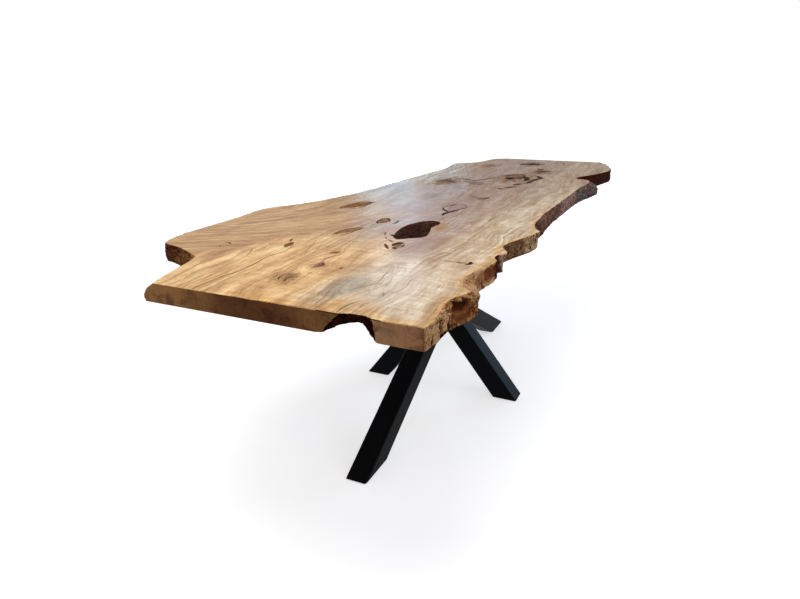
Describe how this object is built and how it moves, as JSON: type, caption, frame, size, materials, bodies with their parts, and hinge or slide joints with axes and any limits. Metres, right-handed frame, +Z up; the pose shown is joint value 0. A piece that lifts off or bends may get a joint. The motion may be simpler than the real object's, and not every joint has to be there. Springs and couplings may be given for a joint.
{
  "type": "live edge dining table",
  "caption": "Dining table: a thick wood slab with natural live edges, a bark pocket and a straight sawn end, screwed to a crossed spider base of black square steel tube.",
  "frame": {"origin": "on the floor, under the middle of the slab's bounding box", "axes": "+X along the slab's grain from the notched near end to the far end, +Y across the slab towards its wide lobe, +Z up"},
  "size_m": [2.2756, 1.0693, 0.76],
  "materials": {
    "slab_wood": "satin clear oil over honey-coloured burled wood, with dark bark on the live edges",
    "base_steel": "fine matt black powder coat",
    "zinc_steel": "zinc plated",
    "insert_brass": "plain turned",
    "glide_rubber": "matt"
  },
  "bodies": {
    "root": {"tabletop_slab": "slab_wood", "long_through_tube": "base_steel", "near_arm_tube": "base_steel", "far_leg_tube": "base_steel", "right_arm_tube": "base_steel", "right_leg_tube": "base_steel", "left_arm_tube": "base_steel", "left_leg_tube": "base_steel", "near_mount_plate": "base_steel", "near_foot_plate": "base_steel", "far_mount_plate": "base_steel", "far_foot_plate": "base_steel", "right_mount_plate": "base_steel", "right_foot_plate": "base_steel", "left_mount_plate": "base_steel", "left_foot_plate": "base_steel", "near_foot_glide": "glide_rubber", "far_foot_glide": "glide_rubber", "right_foot_glide": "glide_rubber", "left_foot_glide": "glide_rubber", "slab_screws": "zinc_steel", "screw_washers": "zinc_steel", "threaded_inserts": "insert_brass"}
  },
  "joints": []
}
